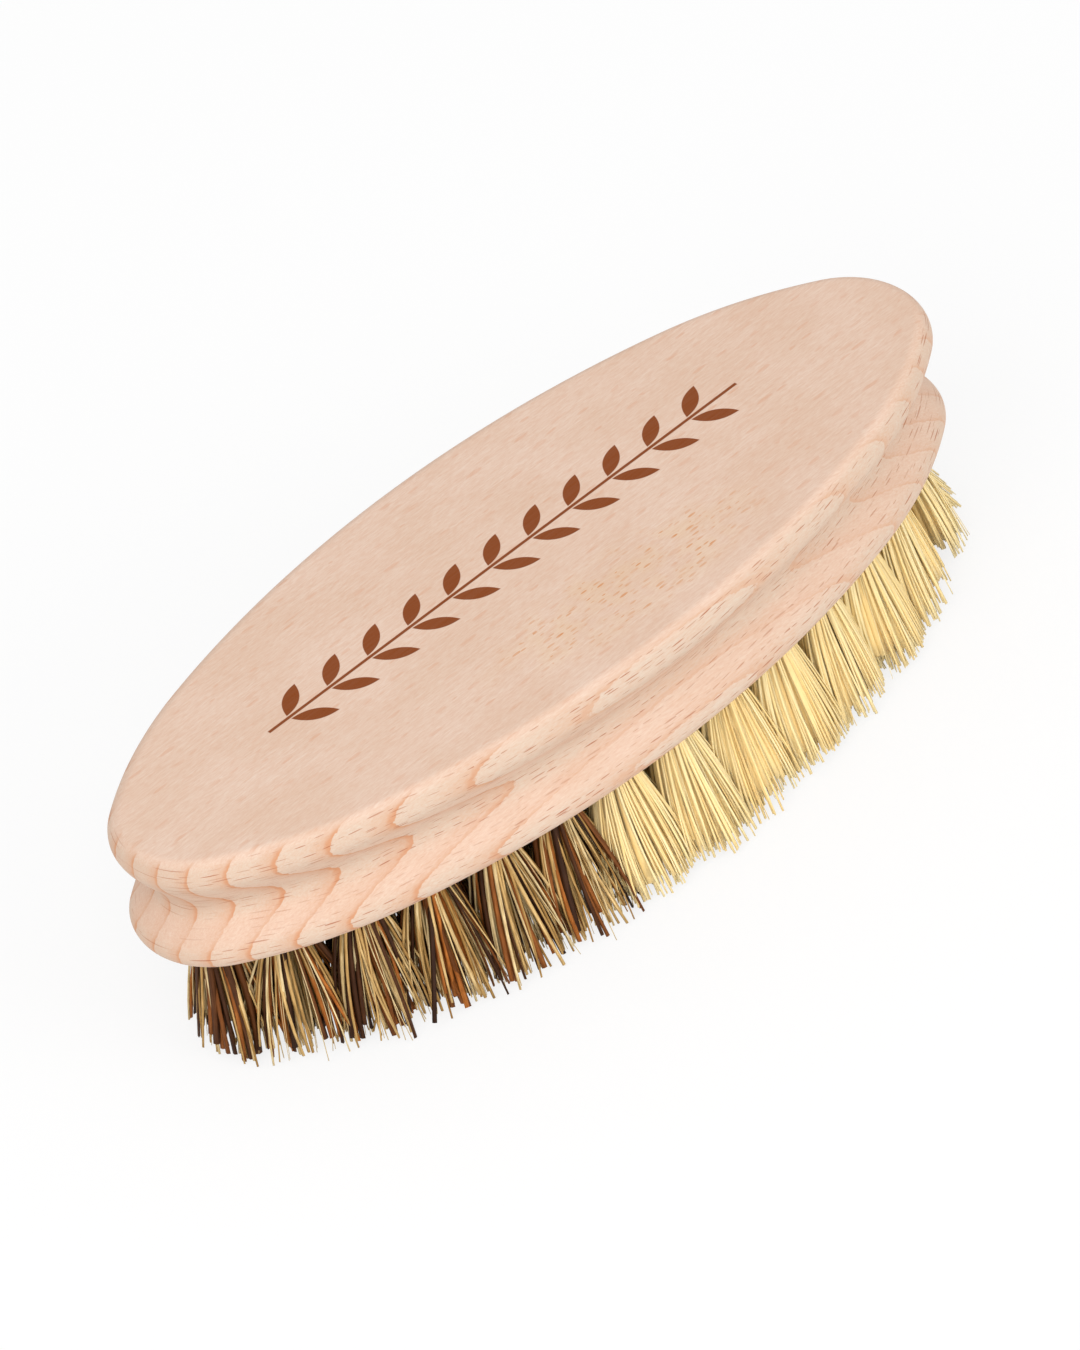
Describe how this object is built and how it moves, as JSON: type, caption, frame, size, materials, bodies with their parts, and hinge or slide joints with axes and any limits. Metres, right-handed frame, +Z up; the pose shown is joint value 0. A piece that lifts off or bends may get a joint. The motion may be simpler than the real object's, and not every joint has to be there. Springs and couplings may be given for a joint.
{
  "type": "vegetable brush",
  "caption": "Oval wooden vegetable brush with a finger groove all round, half set with stiff brown fibre and half with soft pale fibre.",
  "frame": {"origin": "centre of the brush's length and width, on the surface that its fibre tips stand on", "axes": "+Z up, from the fibre tips to the wooden back; X along the block, with the stiff brown fibre at the -X end; Y across it"},
  "size_m": [0.135, 0.055, 0.0355],
  "materials": {
    "beech": "sanded, unvarnished beech",
    "union_fibre": "stiff brown and straw plant fibre, mixed",
    "tampico_fibre": "soft pale yellow plant fibre",
    "staple_steel": "drawn galvanised wire"
  },
  "bodies": {
    "root": {"block": "beech", "staples": "staple_steel", "outer_tuft_01": "tampico_fibre", "outer_tuft_02": "tampico_fibre", "outer_tuft_03": "tampico_fibre", "outer_tuft_04": "tampico_fibre", "outer_tuft_05": "tampico_fibre", "outer_tuft_06": "tampico_fibre", "outer_tuft_07": "tampico_fibre", "outer_tuft_08": "tampico_fibre", "outer_tuft_09": "union_fibre", "outer_tuft_10": "union_fibre", "outer_tuft_11": "union_fibre", "outer_tuft_12": "union_fibre", "outer_tuft_13": "union_fibre", "outer_tuft_14": "union_fibre", "outer_tuft_15": "union_fibre", "outer_tuft_16": "union_fibre", "outer_tuft_17": "union_fibre", "outer_tuft_18": "union_fibre", "outer_tuft_19": "union_fibre", "outer_tuft_20": "tampico_fibre", "outer_tuft_21": "tampico_fibre", "outer_tuft_22": "tampico_fibre", "outer_tuft_23": "tampico_fibre", "outer_tuft_24": "tampico_fibre", "outer_tuft_25": "tampico_fibre", "outer_tuft_26": "tampico_fibre", "outer_tuft_27": "tampico_fibre", "inner_tuft_01": "tampico_fibre", "inner_tuft_02": "tampico_fibre", "inner_tuft_03": "tampico_fibre", "inner_tuft_04": "tampico_fibre", "inner_tuft_05": "tampico_fibre", "inner_tuft_06": "tampico_fibre", "inner_tuft_07": "tampico_fibre", "inner_tuft_08": "union_fibre", "inner_tuft_09": "union_fibre", "inner_tuft_10": "union_fibre", "inner_tuft_11": "union_fibre", "inner_tuft_12": "union_fibre", "inner_tuft_13": "union_fibre", "inner_tuft_14": "union_fibre", "inner_tuft_15": "tampico_fibre", "inner_tuft_16": "tampico_fibre", "inner_tuft_17": "tampico_fibre", "inner_tuft_18": "tampico_fibre", "inner_tuft_19": "tampico_fibre", "inner_tuft_20": "tampico_fibre", "middle_tuft_01": "union_fibre", "middle_tuft_02": "union_fibre", "middle_tuft_03": "tampico_fibre", "middle_tuft_04": "tampico_fibre", "middle_tuft_05": "tampico_fibre", "middle_tuft_06": "tampico_fibre"}
  },
  "joints": []
}
